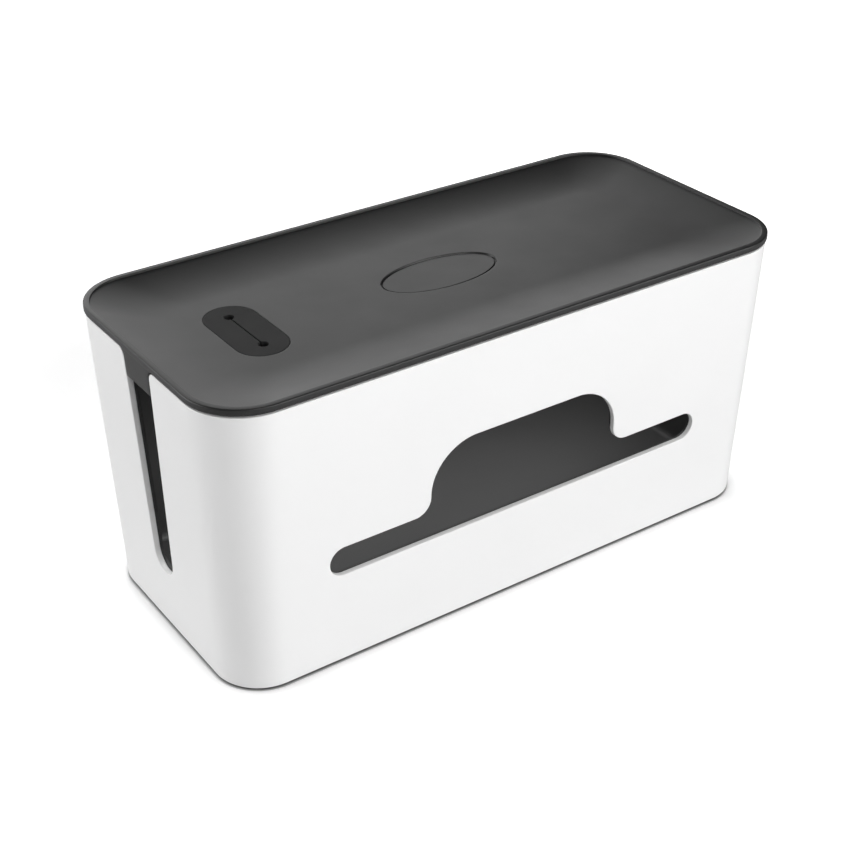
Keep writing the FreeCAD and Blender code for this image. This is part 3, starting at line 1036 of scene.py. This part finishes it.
def tongue():
    """Tongue that closes the top of one end slot, as a stack of level rounded sections.

    Its half width is the slot's own, less the clearance; its middle leans with the wall."""
    box = settings()
    half_wall = box.walls.shell_wall / 2
    edge = 0.25 * MM
    low_z = lid_low.z
    root_z = tie_root()
    outline = slot_outline(-box.lid.tongue_clearance, 0.0, shell_high.z)
    low_half = np.interp(low_z, outline[::-1, 1], outline[::-1, 0])
    keep = outline[outline[:, 1] > low_z + 2 * edge][::-1]
    half_y = np.concatenate([[low_half, low_half], keep[:, 0], [keep[-1, 0], keep[-1, 0]]])
    z = np.concatenate([[low_z, low_z + 1.5 * edge], keep[:, 1], [root_z - edge, root_z]])
    path = whole_path(np.array([0.0, 1.0]), 4, np.linspace(1.0, 0.0, 5))
    return leaning(capped(path, np.full_like(z, half_wall), half_y, edge, z, edge), half_wall)


def gusset(side):
    """Rib that ties a tongue to the lip, as a slim upright block."""
    box = settings()
    lid = box.lid
    outer = box.walls.shell_wall / 2
    inner = sum(lip_insets()) / 2
    z = np.linspace(liner_high.z - lid.lip_drop, tie_root(), 5)
    path = whole_path(np.array([0.0, 1.0]), 4, np.array([1.0, 0.0]))
    half_x = np.full_like(z, (inner - outer) / 2)
    half_y = np.full_like(z, lid.gusset_thickness / 2)
    block = capped(path, half_x, half_y, 0.2 * MM, z, 0.2 * MM)
    return leaning(block, (outer + inner) / 2) + np.array([0, side * lid.gusset_spread, 0])


class BuildLid(bpy.types.Operator):
    """Build the dished lid with its grommet seat, sunk oval, lip and tongues"""
    bl_idname = "cable_box.lid"
    bl_label = "Lid"

    def execute(self, context):
        box = context.scene.cable_box
        material = lid_plastic(box.finish)
        grids = lid_plate() + mirrored([tongue(), gusset(-1), gusset(1)], [-1, 1, 1])
        add_piece("lid_moulding", grids, "lid_assembly", "lid", material)
        return {"FINISHED"}


def cable_slit(grow):
    """Quarter outline of the slit and one cable hole, moved outwards by grow, as (x, y) points."""
    grommet = settings().grommet
    half_slit = grommet.slit_width / 2 + grow
    hole = grommet.hole_radius + grow
    centre = grommet.hole_spacing / 2
    start = -math.acos(half_slit / hole)
    meet = centre + hole * math.sin(start)
    slit = run((half_slit, 0.0), (half_slit, meet), 10)
    around = arc((0.0, centre), hole, start, RIGHT, 24)
    return np.concatenate([slit, around, [(0.0, centre + hole)]])


class BuildGrommet(bpy.types.Operator):
    """Build the rubber grommet with its two cable holes and slit"""
    bl_idname = "cable_box.cable_grommet"
    bl_label = "Cable Grommet"

    def execute(self, context):
        box = context.scene.cable_box
        grommet = box.grommet
        half_width = grommet_high.x - grommet_x
        half_length = grommet_high.y
        top_z, low_z = grommet_high.z, grommet_low.z
        edge = grommet.edge_round
        flange_z = top_z - grommet.flange
        grip_z = low_z + grommet.bead_height
        stem = grommet.flange_overlap
        bead = stem - grommet.bead_overlap
        rows = section(
            [(2 * MM, top_z), (0.0, top_z), (0.0, flange_z), (stem, flange_z), (stem, grip_z),
             (bead, grip_z), (bead, low_z), (bead + 2 * MM, low_z)],
            [0, edge, edge / 2, edge / 2, edge / 2, edge, edge, 0],
        )
        rows[0, 0] = rows[1, 0] + 0.5 * MM
        rows[-1, 0] = rows[-2, 0] + 0.5 * MM
        path = quarter_path(np.array([0.0, 1.0]), 24, np.linspace(1.0, 0.0, 11))[:, 1:]
        width = half_width - rows[:, 0]
        outside = carry(path, width, half_length - rows[:, 0], width, rows[:, 1])[:, ::-1]
        inside = []
        for back, depth in edge_profile(0.15 * MM, top_z - low_z, 0.3 * MM, 3):
            flat = cable_slit(back)
            inside.append(np.column_stack([flat, np.full(len(flat), top_z - depth)]))
        inside = np.array(inside)
        grids = [
            outside, inside, ruled(outside[0], inside[0], 5), ruled(outside[-1], inside[-1], 5),
        ]
        grids = mirrored(mirrored(grids, [-1, 1, 1]), [1, -1, 1])
        grids = [grid + np.array([grommet_x, 0, 0]) for grid in grids]
        material = rubber(box.finish, "grommet_rubber")
        add_piece(
            "grommet_moulding", grids, "lid_assembly", "cable_grommet", material,
        )
        return {"FINISHED"}


class BuildFeet(bpy.types.Operator):
    """Build the four rubber feet, each a disc rounded where it meets the table"""
    bl_idname = "cable_box.feet"
    bl_label = "Feet"

    def execute(self, context):
        box = context.scene.cable_box
        material = rubber(box.finish, "foot_rubber")
        path = quarter_path(np.array([0.0, 1.0]), 14, np.array([1.0, 0.0]))[:, 1:-1]
        for node in ("foot_window_left", "foot_window_right", "foot_back_left", "foot_back_right"):
            low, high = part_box(node)
            radius = (high.x - low.x) / 2
            centre = np.array([(low.x + high.x) / 2, (low.y + high.y) / 2, 0.0])
            rows = section(
                [(0.0, low.z), (radius * 0.9, low.z), (radius, low.z), (radius, high.z),
                 (radius * 0.9, high.z), (0.0, high.z)],
                [0, 0, box.grommet.foot_round, 0.1 * MM, 0, 0],
            )
            pad = carry(path, rows[:, 0], rows[:, 0], rows[:, 0], rows[:, 1])
            grids = mirrored(mirrored([pad], [-1, 1, 1]), [1, -1, 1])
            grids = [grid + centre for grid in grids]
            name = node.replace("foot", "foot_pad")
            add_piece(name, grids, "box", node, material)
        return {"FINISHED"}


# Studio

def lamp_panel(name, place, aim, size, watts):
    """Rectangular area lamp turned towards a point and hidden from the camera."""
    lamp = bpy.data.lights.new(name, "AREA")
    lamp.shape = "RECTANGLE"
    lamp.size, lamp.size_y = size
    lamp.energy = watts
    holder = bpy.data.objects.new(name, lamp)
    bpy.context.scene.collection.objects.link(holder)
    holder.location = place
    holder.rotation_mode = "QUATERNION"
    holder.rotation_quaternion = (Vector(aim) - Vector(place)).to_track_quat("-Z", "Y")
    holder.visible_camera = False
    return holder


def softbox(name, turn, height, watts, distance=1.6, size=(1.0, 0.7)):
    """Softbox aimed at the box's middle: turn from the X axis and height in degrees, else metres."""
    turn, height = math.radians(turn), math.radians(height)
    level = math.cos(height)
    middle = Vector((0.0, 0.0, (shell_low.z + shell_high.z) / 2))
    away = Vector((math.cos(turn) * level, math.sin(turn) * level, math.sin(height)))
    lamp_panel(name, middle + distance * away, middle, size, watts)


def inner_panel(watts):
    """Small lamp under the lid that shines down into the liner and spares the window's ledges."""
    place = Vector((0.0, 8 * MM, liner_high.z - 10 * MM))
    size = (236 * MM, 64 * MM)
    holder = lamp_panel("inner_light", place, place - Vector((0, 0, 1)), size, watts)
    holder.data.spread = math.radians(95)


def white_world(ambient):
    """World that lights evenly at the ambient strength and is white to the camera."""
    world = bpy.data.worlds.new("studio_world")
    bpy.context.scene.world = world
    world.use_nodes = True
    tree = world.node_tree
    tree.nodes.clear()
    values = {"To Min": ambient, "To Max": 1.0}
    seen = add_node(tree, "ShaderNodeMapRange", values, {"Value": camera_ray(tree)})
    white = {"Color": (1.0, 1.0, 1.0, 1.0)}
    strength = {"Strength": seen.outputs["Result"]}
    back = add_node(tree, "ShaderNodeBackground", white, strength)
    add_node(tree, "ShaderNodeOutputWorld", links={"Surface": back.outputs["Background"]})


def aim_camera(stage):
    """Camera on a line from its target, turned and raised, then rolled about that line."""
    turn, height, roll = stage.camera_turn, stage.camera_height, stage.camera_roll
    back = Vector((
        math.sin(turn) * math.cos(height), -math.cos(turn) * math.cos(height), math.sin(height),
    ))
    level_right = (-back).cross(Vector((0, 0, 1))).normalized()
    level_up = level_right.cross(-back)
    right = math.cos(roll) * level_right + math.sin(roll) * level_up
    up = -math.sin(roll) * level_right + math.cos(roll) * level_up
    target = Vector((0, 0, stage.target_height)) - stage.target_left * right + stage.target_up * up
    camera = bpy.data.cameras.new("photo_camera")
    camera.sensor_width = 36.0
    camera.lens = stage.lens
    camera.clip_start = 0.05
    camera.clip_end = 50.0
    holder = bpy.data.objects.new("photo_camera", camera)
    bpy.context.scene.collection.objects.link(holder)
    turned = Matrix((right, up, back)).transposed().to_4x4()
    holder.matrix_world = Matrix.Translation(target + back * stage.camera_distance) @ turned
    bpy.context.scene.camera = holder


class BuildStage(bpy.types.Operator):
    """Build the pale floor, the soft studio light and the camera at the photograph's view"""
    bl_idname = "cable_box.stage"
    bl_label = "Stage"

    def execute(self, context):
        box = context.scene.cable_box
        stage = box.stage
        corners = np.array([(-4, -4, 0), (4, -4, 0), (4, 4, 0), (-4, 4, 0)], dtype=float)
        mesh = bpy.data.meshes.new("studio_floor")
        mesh.from_pydata(corners, [], [(0, 1, 2, 3)])
        mesh.materials.append(floor_material(box.finish.floor_colour))
        floor = bpy.data.objects.new("studio_floor", mesh)
        context.scene.collection.objects.link(floor)

        white_world(stage.ambient)
        softbox("front_left_light", 258, 27, stage.front_left_light, 0.85, (0.35, 0.35))
        softbox("right_light", 300, 12, stage.right_light)
        softbox("left_light", 150, 12, stage.left_light)
        softbox("rear_light", 120, 12, stage.rear_light)
        softbox("back_light", 90, 12, stage.back_light)
        softbox("far_light", 60, 12, stage.far_light)
        softbox("high_light", 67, 35, stage.high_light)
        inner_panel(stage.inner_light)
        aim_camera(stage)
        context.scene.view_settings.view_transform = "Standard"
        return {"FINISHED"}


PIECES = (BuildShell, BuildLiner, BuildLid, BuildGrommet, BuildFeet)


class CableBoxPanel(bpy.types.Panel):
    """Sizes, finishes and the buttons that build the box"""
    bl_idname = "VIEW3D_PT_cable_box"
    bl_label = "Cable Box"
    bl_space_type = "VIEW_3D"
    bl_region_type = "UI"
    bl_category = "Cable Box"

    def draw(self, context):
        box = context.scene.cable_box
        layout = self.layout
        layout.use_property_split = True
        for title, group in (
            ("Walls", box.walls), ("Openings", box.openings), ("Lid", box.lid),
            ("Grommet and Feet", box.grommet), ("Finish", box.finish), ("Stage", box.stage),
        ):
            part = layout.box()
            part.label(text=title)
            for name in group.__annotations__:
                part.prop(group, name)
        for piece in PIECES + (BuildStage,):
            layout.operator(piece.bl_idname)


GROUPS = (
    CableBoxWalls, CableBoxOpenings, CableBoxLid, CableBoxGrommet, CableBoxFinish, CableBoxStage,
    CableBoxSettings,
)


def register():
    """Registers the settings, operators and panel, and hangs the settings on the scene."""
    for item in GROUPS + PIECES + (BuildStage, CableBoxPanel):
        bpy.utils.register_class(item)
    bpy.types.Scene.cable_box = bpy.props.PointerProperty(type=CableBoxSettings)


def unregister():
    """Takes the settings, operators and panel away again."""
    del bpy.types.Scene.cable_box
    for item in reversed(GROUPS + PIECES + (BuildStage, CableBoxPanel)):
        bpy.utils.unregister_class(item)


def main():
    register()
    bpy.ops.cable_box.outer_shell()
    bpy.ops.cable_box.inner_liner()
    bpy.ops.cable_box.lid()
    bpy.ops.cable_box.cable_grommet()
    bpy.ops.cable_box.feet()
    bpy.ops.cable_box.stage()


if __name__ == "__main__":
    main()
